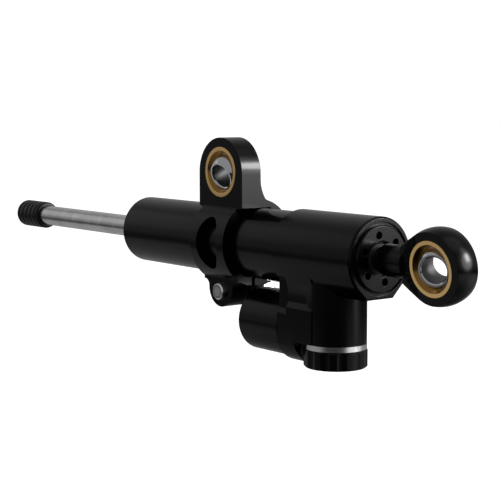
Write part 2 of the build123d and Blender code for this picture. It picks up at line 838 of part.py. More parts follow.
with BuildPart() as pinch_bolt:
    with BuildSketch(Plane.XZ.offset(-lug_back - seat_gap)):
        with Locations((clamp_x, -bolt_drop)):
            Circle(bolt_head_r)
    extrude(amount=-bolt_head_height)
    chamfer(pinch_bolt.faces().sort_by(Axis.Y)[-1].edges(), edge_break)
    with BuildSketch(Plane.XZ.offset(-lug_back - seat_gap)):
        with Locations((clamp_x, -bolt_drop)):
            Circle(bolt_r)
    extrude(amount=lug_back + seat_gap + ear_front + bolt_stand_out)
    chamfer(pinch_bolt.faces().sort_by(Axis.Y)[0].edges(), edge_break)
    with BuildSketch(Plane.XZ.offset(-lug_back - seat_gap - bolt_head_height)):
        with Locations((clamp_x, -bolt_drop)):
            RegularPolygon(bolt_socket / 2, 6, major_radius=False)
    extrude(amount=bolt_socket_depth, mode=Mode.SUBTRACT)

save(pinch_bolt, "pinch_bolt")

# Adjuster, from the index ring down to the knob and up to the needle

save(turned([
    (boss_bottom - seat_gap, index_spigot_r),
    (boss_bottom - seat_gap, index_ring_r),
    (boss_bottom - index_ring_height, index_ring_r),
    (boss_bottom - index_ring_height, index_spigot_r),
], adjuster_frame), "index_ring")

knob_top = boss_bottom - index_ring_height - knob_gap
knob_bottom = knob_top - knob_height
spindle_bottom = knob_top - spindle_in_knob
screw_seat = spindle_bottom - seat_gap - knob_floor

with BuildPart() as adjuster_knob:
    with BuildSketch(adjuster_frame):
        with BuildLine():
            Polyline(
                (knob_top, 0),
                (knob_top, knob_r - edge_break),
                (knob_top - edge_break, knob_r),
                (knob_bottom + knob_chamfer, knob_r),
                (knob_bottom, knob_r - knob_chamfer),
                (knob_bottom, 0),
                close=True,
            )
        make_face()
    revolve(axis=Axis(adjuster_frame.origin, adjuster_frame.x_dir))
    with BuildSketch(Plane.XY.offset(knob_bottom)):
        with Locations((boss_x, 0)):
            with PolarLocations(knob_r + flute_r - flute_depth, flute_count):
                Circle(flute_r)
    extrude(amount=knob_height, mode=Mode.SUBTRACT)
    with BuildSketch(Plane.XY.offset(knob_top)) as spindle_hole:
        with Locations((boss_x, 0)):
            Circle(spindle_r + seat_gap)
            Rectangle(
                2 * (spindle_r + overrun), 2 * (spindle_flat + seat_gap), mode=Mode.INTERSECT
            )
    extrude(amount=-(spindle_in_knob + seat_gap), mode=Mode.SUBTRACT)
    with BuildSketch(Plane.XY.offset(knob_bottom)):
        with Locations((boss_x, 0)):
            Circle(screw_r + seat_gap)
    extrude(amount=knob_height, mode=Mode.SUBTRACT)
    with BuildSketch(Plane.XY.offset(knob_bottom)):
        with Locations((boss_x, 0)):
            Circle(screw_head_r + slide_gap)
    extrude(amount=screw_seat - knob_bottom, mode=Mode.SUBTRACT)

save(adjuster_knob, "adjuster_knob")

with BuildPart() as knob_screw:
    with BuildSketch(Plane.XY.offset(screw_seat - seat_gap)):
        with Locations((boss_x, 0)):
            Circle(screw_head_r)
    extrude(amount=-screw_head_height)
    with BuildSketch(Plane.XY.offset(screw_seat - seat_gap)):
        with Locations((boss_x, 0)):
            Circle(screw_r)
    extrude(amount=screw_length)
    with BuildSketch(Plane.XY.offset(screw_seat - seat_gap - screw_head_height)):
        with Locations((boss_x, 0)):
            RegularPolygon(screw_socket / 2, 6, major_radius=False)
    extrude(amount=screw_head_height / 2, mode=Mode.SUBTRACT)

save(knob_screw, "knob_screw")

needle_thread_bottom = cartridge_bottom + needle_shift
tail_socket_bottom = needle_thread_bottom - needle_tail_length - needle_shift
collar_top = spindle_gland_top - collar_play
collar_bottom = collar_top - collar_height
tail_room = needle_tail / 2 + slide_gap
spindle_ring_width = ring_groove_width / 2
spindle_ring_z = (collar_bottom + spigot_bottom) / 2
spindle_ring_floor_r = spindle_r - ring_groove_depth / 2

with BuildPart() as valve_spindle:
    with BuildSketch(adjuster_frame):
        with BuildLine():
            Polyline(
                (spindle_bottom, 0),
                (spindle_bottom, spindle_r),
                (spindle_ring_z - spindle_ring_width / 2, spindle_r),
                (spindle_ring_z - spindle_ring_width / 2, spindle_ring_floor_r),
                (spindle_ring_z + spindle_ring_width / 2, spindle_ring_floor_r),
                (spindle_ring_z + spindle_ring_width / 2, spindle_r),
                (collar_bottom, spindle_r),
                (collar_bottom, collar_r),
                (collar_top, collar_r),
                (collar_top, 0),
                close=True,
            )
        make_face()
    revolve(axis=Axis(adjuster_frame.origin, adjuster_frame.x_dir))
    for side in (1, -1):
        with BuildSketch(Plane.XY.offset(spindle_bottom)):
            with Locations((boss_x, side * spindle_flat)):
                Rectangle(
                    2 * spindle_r, spindle_r,
                    align=(Align.CENTER, Align.MIN if side > 0 else Align.MAX),
                )
        extrude(amount=spindle_in_knob, mode=Mode.SUBTRACT)
    with BuildSketch(Plane.XY.offset(collar_top)):
        with Locations((boss_x, 0)):
            Rectangle(2 * tail_room, 2 * tail_room)
    extrude(amount=tail_socket_bottom - collar_top, mode=Mode.SUBTRACT)
    with BuildSketch(Plane.XY.offset(spindle_bottom)):
        with Locations((boss_x, 0)):
            Circle(screw_r + seat_gap)
    extrude(amount=screw_length - knob_floor, mode=Mode.SUBTRACT)

save(valve_spindle, "valve_spindle")

save(
    o_ring(spindle_ring_z, spindle_ring_floor_r, spindle_r + slide_gap, adjuster_frame),
    "spindle_o_ring",
)

save(turned([
    (spigot_bottom, spindle_r + slide_gap),
    (spigot_bottom, adjuster_bore_r - seat_gap),
    (spindle_gland_top, adjuster_bore_r - seat_gap),
    (spindle_gland_top, collar_r + slide_gap),
    (collar_bottom - collar_play, collar_r + slide_gap),
    (collar_bottom - collar_play, spindle_r + slide_gap),
], adjuster_frame), "spindle_gland")

needle_thread_top = needle_thread_bottom + needle_thread_length
orifice_bottom = cartridge_top - orifice_length
needle_slope = (needle_stem_r - needle_tip_r) / needle_cone
cone_bottom = orifice_bottom - needle_open - (needle_stem_r - orifice_r) / needle_slope

with BuildPart() as valve_cartridge:
    with BuildSketch(adjuster_frame):
        with BuildLine():
            Polyline(
                (cartridge_bottom, needle_thread_r + slide_gap),
                (cartridge_bottom, cartridge_r),
                (cartridge_top, cartridge_r),
                (cartridge_top, orifice_r),
                (orifice_bottom, orifice_r),
                (orifice_bottom, needle_thread_r + slide_gap),
                close=True,
            )
        make_face()
    revolve(axis=Axis(adjuster_frame.origin, adjuster_frame.x_dir))
    with BuildSketch(Plane.YZ.offset(boss_x)):
        with Locations((0, -oil_port_drop)):
            Circle(oil_port_r)
    extrude(amount=-(cartridge_r + overrun), mode=Mode.SUBTRACT)

save(valve_cartridge, "valve_cartridge")

with BuildPart() as needle_valve:
    with BuildSketch(adjuster_frame):
        with BuildLine():
            Polyline(
                (needle_thread_bottom, 0),
                (needle_thread_bottom, needle_thread_r),
                (needle_thread_top, needle_thread_r),
                (needle_thread_top, needle_stem_r),
                (cone_bottom, needle_stem_r),
                (cone_bottom + needle_cone, needle_tip_r),
                (cone_bottom + needle_cone, 0),
                close=True,
            )
        make_face()
    revolve(axis=Axis(adjuster_frame.origin, adjuster_frame.x_dir))
    with BuildSketch(Plane.XY.offset(needle_thread_bottom)):
        with Locations((boss_x, 0)):
            Rectangle(needle_tail, needle_tail)
    extrude(amount=-needle_tail_length)

save(needle_valve, "needle_valve")

# The room that the moving pieces have, which their joints' ranges stay within
print(f"rod: {retract_room - clip_wire:.2f} inwards, {end_cap_inner - piston_right - clip_wire:.2f} outwards")
print(f"shank to end cap's wiper: {shank_left - end_cap_face - wiper_lip:.2f}")
print(f"floating piston: {floating_piston_place:.2f} and {reservoir_right - floating_right:.2f}")
print(f"clamp's bearing at {clamp_bearing}, adjuster at x {boss_x:.2f}")
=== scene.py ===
import json
from math import asin, cos, pi, radians, sin, sqrt, tan

import bmesh
import bpy
from mathutils import Matrix, Vector


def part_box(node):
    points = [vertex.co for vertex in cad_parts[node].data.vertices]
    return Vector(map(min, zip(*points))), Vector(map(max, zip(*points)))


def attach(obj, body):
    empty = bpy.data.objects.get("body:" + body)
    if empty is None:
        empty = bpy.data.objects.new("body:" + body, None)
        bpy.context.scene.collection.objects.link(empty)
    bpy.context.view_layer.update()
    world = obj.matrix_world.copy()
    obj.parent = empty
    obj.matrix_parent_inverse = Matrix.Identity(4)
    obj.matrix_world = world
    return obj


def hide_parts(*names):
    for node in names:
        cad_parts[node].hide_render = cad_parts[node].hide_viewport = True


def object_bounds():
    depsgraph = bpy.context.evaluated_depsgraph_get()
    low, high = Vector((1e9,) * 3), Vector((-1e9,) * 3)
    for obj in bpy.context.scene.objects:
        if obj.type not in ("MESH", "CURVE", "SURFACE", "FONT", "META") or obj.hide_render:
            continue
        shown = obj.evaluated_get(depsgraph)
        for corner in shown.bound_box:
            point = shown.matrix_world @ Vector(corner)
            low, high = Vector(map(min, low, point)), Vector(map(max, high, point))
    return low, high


# A steering damper of black anodised aluminium on a white ground. Lengths are in metres. X is the
# damper's axis, +Z is up, and the origin is the centre of the rod end's ball. Azimuths are degrees
# from -Y towards +X.

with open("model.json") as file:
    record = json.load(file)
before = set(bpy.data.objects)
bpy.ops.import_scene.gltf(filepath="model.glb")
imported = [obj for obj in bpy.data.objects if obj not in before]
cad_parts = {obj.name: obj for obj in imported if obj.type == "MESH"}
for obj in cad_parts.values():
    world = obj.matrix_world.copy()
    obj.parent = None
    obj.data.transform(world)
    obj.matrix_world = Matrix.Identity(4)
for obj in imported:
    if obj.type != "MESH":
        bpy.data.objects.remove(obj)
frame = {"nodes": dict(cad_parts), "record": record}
cad_low, cad_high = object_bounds()
bpy.context.scene.view_settings.view_transform = "Standard"

MM = 0.001
ALONG_X = (1.0, 0.0, 0.0)
ALONG_Y = (0.0, 1.0, 0.0)
ALONG_Z = (0.0, 0.0, 1.0)


def centre_of(node):
    low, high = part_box(node)
    return (low + high) / 2


def heading(azimuth, elevation=0.0):
    """Direction from its azimuth and its elevation, both in degrees."""
    level = cos(radians(elevation))
    return Vector((
        sin(radians(azimuth)) * level,
        -cos(radians(azimuth)) * level,
        sin(radians(elevation)),
    ))


def grey(value):
    return (value, value, value, 1.0)


# Node trees

# Sockets of the Mix node: its factor, then the two values to mix
MIX_FLOAT = (0, 2, 3)
MIX_COLOUR = (0, 6, 7)
MIX_COLOUR_RESULT = 2


class Graph:
    """Builds a node tree from calls that each return the output of the node they add."""

    def __init__(self, tree):
        self.tree = tree
        tree.nodes.clear()

    def add(self, kind, settings=None, **inputs):
        """Adds a node and returns it. An input's name has _ where the socket's has a space."""
        node = self.tree.nodes.new(kind)
        for key, value in (settings or {}).items():
            setattr(node, key, value)
        for key, value in inputs.items():
            self.put(node.inputs[key.replace("_", " ")], value)
        return node

    def put(self, socket, value):
        if isinstance(value, bpy.types.NodeSocket):
            self.tree.links.new(value, socket)
        else:
            socket.default_value = value

    def fill(self, kind, settings, sockets, values):
        """Adds a node whose inputs have to be named by their numbers."""
        node = self.add(kind, settings)
        for socket, value in zip(sockets, values):
            self.put(node.inputs[socket], value)
        return node

    def math(self, operation, *values):
        settings = {"operation": operation}
        return self.fill("ShaderNodeMath", settings, range(len(values)), values).outputs[0]

    def vector(self, operation, *values):
        settings = {"operation": operation}
        node = self.fill("ShaderNodeVectorMath", settings, range(len(values)), values)
        return node.outputs["Value" if operation in ("DOT_PRODUCT", "LENGTH") else "Vector"]

    def mix(self, share, low, high):
        settings = {"data_type": "FLOAT"}
        return self.fill("ShaderNodeMix", settings, MIX_FLOAT, (share, low, high)).outputs[0]

    def mix_colour(self, share, low, high):
        settings = {"data_type": "RGBA"}
        node = self.fill("ShaderNodeMix", settings, MIX_COLOUR, (share, low, high))
        return node.outputs[MIX_COLOUR_RESULT]

    def mix_shader(self, share, low, high):
        return self.fill("ShaderNodeMixShader", {}, range(3), (share, low, high)).outputs[0]

    def ramp(self, value, low, high, out_low=0.0, out_high=1.0):
        """Smooth step of value, from out_low at low to out_high at high."""
        node = self.add(
            "ShaderNodeMapRange", {"interpolation_type": "SMOOTHSTEP"},
            Value=value, From_Min=low, From_Max=high, To_Min=out_low, To_Max=out_high,
        )
        return node.outputs["Result"]

    def sector(self, way, middle, half_angle, fade, outside, inside):
        """Step to inside where way is within half_angle of the middle's direction."""
        return self.ramp(
            self.vector("DOT_PRODUCT", way, middle),
            cos(radians(half_angle + fade)), cos(radians(half_angle)), outside, inside,
        )

    def noise(self, place, scale, detail=3.0, roughness=0.55):
        node = self.add(
            "ShaderNodeTexNoise", Vector=place, Scale=scale, Detail=detail, Roughness=roughness
        )
        return node.outputs[0]

    def by_ray(self, to_camera, to_gloss, to_rest):
        """A shader each for what the camera sees, for gloss and glass, and for all other light."""
        path = self.add("ShaderNodeLightPath")
        glossy = self.math(
            "MAXIMUM", path.outputs["Is Glossy Ray"], path.outputs["Is Transmission Ray"]
        )
        plain = self.mix_shader(path.outputs["Is Camera Ray"], to_rest, to_camera)
        return self.mix_shader(glossy, plain, to_gloss)


# Camera of the photograph

CAMERA_PLACE = Vector((0.27605, -0.2833, 0.048))
CAMERA_AZIMUTH = 52.282
CAMERA_ELEVATION = 6.266
CAMERA_ROLL = -0.089
CAMERA_LENS = 97.77         # millimetres, as the sensor's width
CAMERA_SENSOR = 36.0


def make_camera():
    back = heading(CAMERA_AZIMUTH, CAMERA_ELEVATION)
    right = Vector((cos(radians(CAMERA_AZIMUTH)), sin(radians(CAMERA_AZIMUTH)), 0.0))
    up = back.cross(right)
    turn = Matrix((right, up, back)).transposed() @ Matrix.Rotation(radians(CAMERA_ROLL), 3, "Z")
    data = bpy.data.cameras.new("camera")
    data.lens = CAMERA_LENS
    data.sensor_width = CAMERA_SENSOR
    camera = bpy.data.objects.new("camera", data)
    camera.matrix_world = Matrix.Translation(CAMERA_PLACE) @ turn.to_4x4()
    bpy.context.scene.collection.objects.link(camera)
    bpy.context.scene.camera = camera


make_camera()

# Ground

FLOOR_DROP = 0.12
FLOOR_SIZE = 12.0
FLOOR_TONE = 0.55
FLOOR_GLOW = 0.72           # lifts the lit floor to white for the camera
TABLE_REACH = 0.52
TABLE_FADE = 0.03
TABLE_GLOW_FROM = 0.08      # distances from the origin between which the table's glow grows
TABLE_GLOW_TO = 0.30
TABLE_GLOW_UNDER = 0.07
TABLE_GLOW_ROUND = 0.38
TABLE_SECTORS = (
    # azimuth seen from the knob, half angle, fade, factor on the glow
    (42.0, 14.0, 46.0, 0.08),
    (122.0, 18.0, 25.0, 2.6),
)


def make_floor():
    """White where the camera sees it, with the damper's shadow, and in gloss a grey table of
    limited reach with a dark and a light sector."""
    half = FLOOR_SIZE / 2
    corners = ((-half, -half), (half, -half), (half, half), (-half, half))
    mesh = bpy.data.meshes.new("floor")
    mesh.from_pydata([(x, y, -FLOOR_DROP) for x, y in corners], [], [(0, 1, 2, 3)])
    floor = bpy.data.objects.new("floor", mesh)
    bpy.context.scene.collection.objects.link(floor)
    material = bpy.data.materials.new("floor")
    material.use_nodes = True
    graph = Graph(material.node_tree)
    place = graph.add("ShaderNodeNewGeometry").outputs["Position"]
    level = graph.vector("MULTIPLY", place, (1.0, 1.0, 0.0))
    distance = graph.vector("LENGTH", level)
    on_table = graph.ramp(distance, TABLE_REACH - TABLE_FADE, TABLE_REACH + TABLE_FADE, 1.0, 0.0)
    glow = graph.ramp(
        distance, TABLE_GLOW_FROM, TABLE_GLOW_TO, TABLE_GLOW_UNDER, TABLE_GLOW_ROUND
    )
    knob_place = Vector((centre_of("index_ring").x, centre_of("index_ring").y, 0.0))
    way = graph.vector("NORMALIZE", graph.vector("SUBTRACT", level, knob_place))
    for azimuth, half_angle, fade, factor in TABLE_SECTORS:
        share = graph.sector(way, heading(azimuth), half_angle, fade, 1.0, factor)
        glow = graph.math("MULTIPLY", glow, share)
    table = graph.add("ShaderNodeEmission", Color=grey(1.0), Strength=glow).outputs[0]
    clear = graph.add("ShaderNodeBsdfTransparent").outputs[0]
    lit = graph.add("ShaderNodeBsdfDiffuse", Color=grey(FLOOR_TONE)).outputs[0]
    lift = graph.add("ShaderNodeEmission", Color=grey(1.0), Strength=FLOOR_GLOW).outputs[0]
    white = graph.fill("ShaderNodeAddShader", {}, range(2), (lit, lift)).outputs[0]
    surface = graph.by_ray(white, graph.mix_shader(on_table, clear, table), lit)
    graph.add("ShaderNodeOutputMaterial", Surface=surface)
    mesh.materials.append(material)


make_floor()

# World

EVEN_LIGHT = 0.7
UPPER_LIGHT = 0.32          # in gloss, above the belt
BELT_FRONT = 0.012
BELT_LEFT = 0.10
BELT_TURN_FROM = 0.2        # cosines of the angle from the left
BELT_TURN_TO = 0.75
BELT_TOP_FROM = -0.16       # sines of the elevation
BELT_TOP_TO = 0.0
PANELS = (
    # azimuth, elevation, half angle, fade, strength
    (-66.0, 22.0, 8.0, 12.0, 0.26),
    (-128.0, 30.0, 16.0, 16.0, 0.10),
    (128.0, 62.0, 14.0, 14.0, 0.6),
    (128.0, 12.0, 12.0, 9.0, 7.9),
    (132.0, 34.0, 3.0, 9.0, 3.0),
)


def make_world():
    """White to the camera, a soft even light, and in gloss a studio that has a dark belt below eye
    level, darkest in front, and soft panels beside it."""
    world = bpy.data.worlds.new("studio")
    bpy.context.scene.world = world
    world.use_nodes = True
    graph = Graph(world.node_tree)
    way = graph.add("ShaderNodeTexCoord").outputs["Generated"]
    height = graph.add("ShaderNodeSeparateXYZ", Vector=way).outputs["Z"]
    leftward = graph.vector("DOT_PRODUCT", way, heading(-90.0))
    belt = graph.ramp(leftward, BELT_TURN_FROM, BELT_TURN_TO, BELT_FRONT, BELT_LEFT)
    above = graph.ramp(height, BELT_TOP_FROM, BELT_TOP_TO)
    strength = graph.mix(above, belt, UPPER_LIGHT)
    for azimuth, elevation, half_angle, fade, panel in PANELS:
        glow = graph.sector(way, heading(azimuth, elevation), half_angle, fade, 0.0, panel)
        strength = graph.math("ADD", strength, glow)
    white, studio, even = (
        graph.add("ShaderNodeBackground", Color=grey(1.0), Strength=level).outputs[0]
        for level in (1.0, strength, EVEN_LIGHT)
    )
    graph.add("ShaderNodeOutputWorld", Surface=graph.by_ray(white, studio, even))


make_world()

# Lamp


def add_lamp(name, azimuth, elevation, distance, width, height, radiance):
    """Soft rectangular lamp that faces the damper, with the brightness that its face has."""
    data = bpy.data.lights.new(name, "AREA")
    data.shape = "RECTANGLE"
    data.size = width
    data.size_y = height
    data.energy = radiance * pi * width * height
    lamp = bpy.data.objects.new(name, data)
    way = heading(azimuth, elevation)
    turn = way.to_track_quat("Z", "Y").to_matrix().to_4x4()
    lamp.matrix_world = Matrix.Translation((cad_low + cad_high) / 2 + distance * way) @ turn
    lamp.visible_camera = False
    bpy.context.scene.collection.objects.link(lamp)


add_lamp(
    "key_lamp", azimuth=130.0, elevation=19.0, distance=1.6, width=0.36, height=0.42, radiance=34.0
)

# Materials

EDGE_ROUND = 0.22 * MM
EDGE_SAMPLES = 6
EDGE_FLAT = 0.995           # cosines of the bend at which the edge wear and painted edge highlight start and are full
EDGE_BENT = 0.85
FINE_RELIEF = 0.01 * MM
GRAIN_RELIEF = 0.02 * MM
CLOUDS = 160.0              # scale of a noise, in waves per metre


class Finish(Graph):
    """A material with one Principled shader, whose fixed numbers are set on its own sockets."""

    def __init__(self, name, **sockets):
        material = bpy.data.materials.new(name)
        material.use_nodes = True
        super().__init__(material.node_tree)
        self.material = material
        self.shader = self.add("ShaderNodeBsdfPrincipled", **sockets)
        self.add("ShaderNodeOutputMaterial", Surface=self.shader.outputs[0])
        self.place = self.add("ShaderNodeTexCoord").outputs["Object"]

    def paint(self, colour):
        self.put(self.shader.inputs["Base Color"], colour)

    def roughen(self, value, low, high):
        self.put(self.shader.inputs["Roughness"], self.mix(value, low, high))

    def rounded(self):
        """Normal with the edges rounded."""
        return self.add(
            "ShaderNodeBevel", {"samples": EDGE_SAMPLES}, Radius=EDGE_ROUND
        ).outputs[0]

    def bump(self, height, strength, relief=FINE_RELIEF):
        """Fine relief on edges that are rounded in the shading."""
        node = self.add(
            "ShaderNodeBump", Strength=strength, Distance=relief, Height=height,
            Normal=self.rounded(),
        )
        self.put(self.shader.inputs["Normal"], node.outputs[0])

    def edge_wear_and_highlight(self):
        """How much the surface bends away at its edge, from 0 on a flat face to 1."""
        flat = self.add("ShaderNodeNewGeometry").outputs["Normal"]
        bend = self.vector("DOT_PRODUCT", self.rounded(), flat)
        return self.ramp(bend, EDGE_FLAT, EDGE_BENT)

    def turning_lines(self, along, across):
        """Noise in rings round X, from its scales along X and across it."""
        stretched = self.vector("MULTIPLY", self.place, (along, across, across))
        return self.noise(stretched, scale=1.0, detail=2.0)

    def face_lines(self, from_axis, scale):
        """Noise in rings on a turned face, from the distance to the axis."""
        rings = self.vector("MULTIPLY", from_axis, (scale, 0.0, 0.0))
        return self.noise(rings, scale=1.0, detail=2.0)

    def distance_from(self, centre, axis):
        offset = self.vector("SUBTRACT", self.place, centre)
        return self.vector("LENGTH", self.vector("CROSS_PRODUCT", offset, axis))


BLACK = (grey(0.0003), grey(0.0009))
# lighter colour of the edges, partly wear and partly a painted highlight
BLACK_WEAR_AND_HIGHLIGHT = grey(0.012)
SPECK_SHARE = 0.35          # of the specks in the roughness, the rest being clouds


def anodised(name, turned):
    """Black anodised aluminium, with faint turning lines round X where it was turned, and edges that
    are lighter partly as wear and partly as a painted highlight.
    """
    finish = Finish(name, Specular_IOR_Level=0.16)
    cloud = finish.noise(finish.place, scale=90.0)
    speck = finish.noise(finish.place, scale=2500.0, detail=2.0)
    # Edges get a lighter colour: partly wear, partly a painted highlight.
    wear_and_highlight = finish.math("MULTIPLY", finish.edge_wear_and_highlight(), finish.ramp(speck, 0.35, 0.6))
    finish.paint(finish.mix_colour(wear_and_highlight, finish.mix_colour(cloud, *BLACK), BLACK_WEAR_AND_HIGHLIGHT))
    clouds = finish.math("MULTIPLY", cloud, 1.0 - SPECK_SHARE)
    finish.roughen(finish.math("MULTIPLY_ADD", speck, SPECK_SHARE, clouds), 0.16, 0.24)
    if turned:
        finish.bump(finish.turning_lines(along=5200.0, across=30.0), strength=0.10)
    else:
        finish.bump(speck, strength=0.08)
    return finish.material


DULL_SHARE = 0.82           # of a metal's colour, in its duller clouds


def metal(name, colour, low, high, lines=0.0, strength=0.1):
    """Bare metal with cloudy roughness, and with turning lines round X where lines isn't zero."""
    finish = Finish(name, Metallic=1.0)
    cloud = finish.noise(finish.place, CLOUDS)
    dull = tuple(DULL_SHARE * part for part in colour)
    patch = finish.ramp(cloud, 0.35, 0.65)
    finish.paint(finish.mix_colour(patch, (*dull, 1.0), (*colour, 1.0)))
    finish.roughen(cloud, low, high)
    if lines:
        finish.bump(finish.turning_lines(lines, across=25.0), strength)
    return finish.material


STEEL = ((0.58, 0.60, 0.63, 1.0), (0.68, 0.70, 0.73, 1.0))
BORE_EDGE = (0.02 * MM, 0.10 * MM)  # past the bore's radius, from dull to polished


def ball_steel(name, mount_name, bore_shade):
    """Polished steel of a ball, dull inside the bore that its mount is, where its colour is darkened
    as painted shade.
    """
    mount = next(mount for mount in frame["record"]["mounts"] if mount["name"] == mount_name)
    bore_r = mount["dims"]["r_mm"] * MM
    finish = Finish(name, Metallic=1.0)
    across = finish.distance_from(mount["pos_m"], mount["axis"])
    inside = finish.ramp(across, bore_r + BORE_EDGE[0], bore_r + BORE_EDGE[1], 1.0, 0.0)
    polished = finish.mix_colour(finish.noise(finish.place, CLOUDS), *STEEL)
    # Inside the bore the colour is darker: painted shade.
    finish.paint(finish.mix_colour(inside, polished, grey(bore_shade)))
    finish.roughen(inside, 0.10, 0.50)
    finish.bump(finish.noise(finish.place, scale=1400.0), strength=0.05)
    return finish.material


BRASS = ((0.93, 0.60, 0.24, 1.0), (1.0, 0.67, 0.29, 1.0))
# colour of the chamfer: brass darkened as painted shade
BRASS_CHAMFER_SHADE = (0.34, 0.18, 0.045, 1.0)
RACE_FACE_R = 7.3 * MM
CHAMFER_FADE = 0.12 * MM


def brass(name, race, axis):
    """Turned brass of a race, bright on its faces and darkened in the chamfer inside them by painted
    shade.
    """
    finish = Finish(name, Metallic=1.0)
    across = finish.distance_from(centre_of(race), axis)
    chamfer = finish.ramp(across, RACE_FACE_R - CHAMFER_FADE, RACE_FACE_R, 1.0, 0.0)
    cloud = finish.noise(finish.place, CLOUDS)
    # The chamfer is painted darker: painted shade.
    finish.paint(finish.mix_colour(chamfer, finish.mix_colour(cloud, *BRASS), BRASS_CHAMFER_SHADE))
    finish.roughen(cloud, 0.18, 0.28)
    finish.bump(finish.face_lines(across, scale=9000.0), strength=0.12)
    return finish.material


# Radii of the groove's painted shade and of the rim's painted highlight
TIP_GROOVE_SHADE_STARTS = (1.6 * MM, 1.9 * MM)
TIP_GROOVE_SHADE_ENDS = (2.05 * MM, 2.3 * MM)
TIP_RIM_HIGHLIGHT_STARTS = (2.2 * MM, 2.5 * MM)


def turned_tip(name, bolt):
    """Zinc-plated steel, with a dark groove of painted shade and a bright rim of painted highlight
    on the end of a bolt along Y.
    """
    finish = Finish(name, Metallic=1.0)
    across = finish.distance_from(centre_of(bolt), ALONG_Y)
    # The rim is made bright: a painted highlight.
    plain = finish.mix_colour(finish.ramp(across, *TIP_RIM_HIGHLIGHT_STARTS), grey(0.58), grey(0.95))
    # The groove is painted dark: painted shade.
    groove = finish.math(
        "MULTIPLY", finish.ramp(across, *TIP_GROOVE_SHADE_STARTS),
        finish.ramp(across, *TIP_GROOVE_SHADE_ENDS, 1.0, 0.0),
    )
    finish.paint(finish.mix_colour(groove, plain, grey(0.22)))
    finish.roughen(finish.noise(finish.place, CLOUDS), 0.22, 0.36)
    finish.bump(finish.face_lines(across, scale=7000.0), strength=0.2)
    return finish.material


DUST_GAIN = 2.2             # how much lighter dust makes the rubber


def rubber(name, low, high, tone):
    """Moulded rubber with a fine grain and a little dust in it."""
    finish = Finish(name, Specular_IOR_Level=0.22)
    grain = finish.noise(finish.place, scale=1800.0, detail=4.0)
    dust = finish.ramp(finish.noise(finish.place, scale=240.0), 0.45, 0.8)
    finish.paint(finish.mix_colour(dust, grey(tone), grey(DUST_GAIN * tone)))
    finish.roughen(grain, low, high)
    finish.bump(grain, strength=0.25, relief=GRAIN_RELIEF)
    return finish.material


EYE_TURN = 7.45             # degrees that the eye is turned about the rod
EYE_AXIS = heading(0.0, -EYE_TURN)
CLAMP_AXIS = (0.0, -1.0, 0.0)

black_turned = anodised("black_anodised_turned", turned=True)
black_milled = anodised("black_anodised_milled", turned=False)
screw_steel = metal("screw_steel", (0.60, 0.60, 0.61), 0.22, 0.36)
turned_aluminium = metal("turned_aluminium", (0.78, 0.78, 0.79), 0.25, 0.38, lines=3000.0)
valve_brass = metal("valve_brass", (0.80, 0.60, 0.28), 0.22, 0.34)
bush_bronze = metal("bush_bronze", (0.66, 0.42, 0.20), 0.28, 0.42)
seal_rubber = rubber("seal_rubber", 0.45, 0.60, tone=0.012)

# The nodes that aren't named here are seals
MATERIALS = {
    "main_tube": black_turned,
    "reservoir_tube": black_turned,
    "valve_housing": black_milled,
    "end_cap": black_milled,
    "tube_gland": black_milled,
    "reservoir_cap": black_milled,
    "clamp_bracket": black_milled,
    "rod_end_eye": black_milled,
    "adjuster_knob": black_milled,
    "piston_rod": metal("ground_steel", (0.62, 0.62, 0.62), 0.16, 0.24, lines=4200.0, strength=0.35),
    "rod_bumper": rubber("bumper_rubber", 0.30, 0.44, tone=0.004),
    "rod_end_ball": ball_steel("rod_end_ball_steel", "rod_end_bore", bore_shade=0.13),
    "clamp_ball": ball_steel("clamp_ball_steel", "clamp_bore", bore_shade=0.05),
    "rod_end_race": brass("rod_end_race_brass", "rod_end_race", EYE_AXIS),
    "clamp_race": brass("clamp_race_brass", "clamp_race", CLAMP_AXIS),
    "index_ring": metal("bright_aluminium", (0.90, 0.90, 0.91), 0.12, 0.20),
    "pinch_bolt": turned_tip("zinc_steel", "pinch_bolt"),
    "piston_clip_left": screw_steel,
    "piston_clip_right": screw_steel,
    "fill_screw": screw_steel,
    "knob_screw": screw_steel,
    "valve_spindle": screw_steel,
    "needle_valve": screw_steel,
    "valve_cartridge": valve_brass,
    "spindle_gland": valve_brass,
    "tube_gland_bush": bush_bronze,
    "end_cap_bush": bush_bronze,
    "piston": turned_aluminium,
    "floating_piston": turned_aluminium,
    "piston_band": rubber("band_plastic", 0.40, 0.55, tone=0.16),
}

for name, node in frame["nodes"].items():
    node.data.materials.clear()
    node.data.materials.append(MATERIALS.get(name, seal_rubber))

# Shapes for the pieces that stand for a node

ROUND_SIDES = 128
ARC_STEPS = 24
SHARP_ANGLE = 28.0
MERGE = 0.0001 * MM
OVERRUN = 3.0 * MM


def solid(name, points, faces):
    """A closed solid in the scene, with its faces turned outwards."""
    mesh = bpy.data.meshes.new(name)
    mesh.from_pydata(points, [], faces)
    shape = bmesh.new()
    shape.from_mesh(mesh)
    bmesh.ops.recalc_face_normals(shape, faces=shape.faces)
    shape.to_mesh(mesh)
    shape.free()
    piece = bpy.data.objects.new(name, mesh)
    bpy.context.scene.collection.objects.link(piece)
    return piece


def prism(name, outline, axis, start, end):
    """Prism from start to end along X, with an outline in Y and Z, or along Y, in X and Z."""
    count = len(outline)
    points = [
        (along, a, z) if axis == ALONG_X else (a, along, z)
        for along in (start, end) for a, z in outline
    ]
    faces = [tuple(range(count)), tuple(range(count, 2 * count))]
    for first in range(count):
        second = (first + 1) % count
        faces.append((first, second, second + count, first + count))
    return solid(name, points, faces)


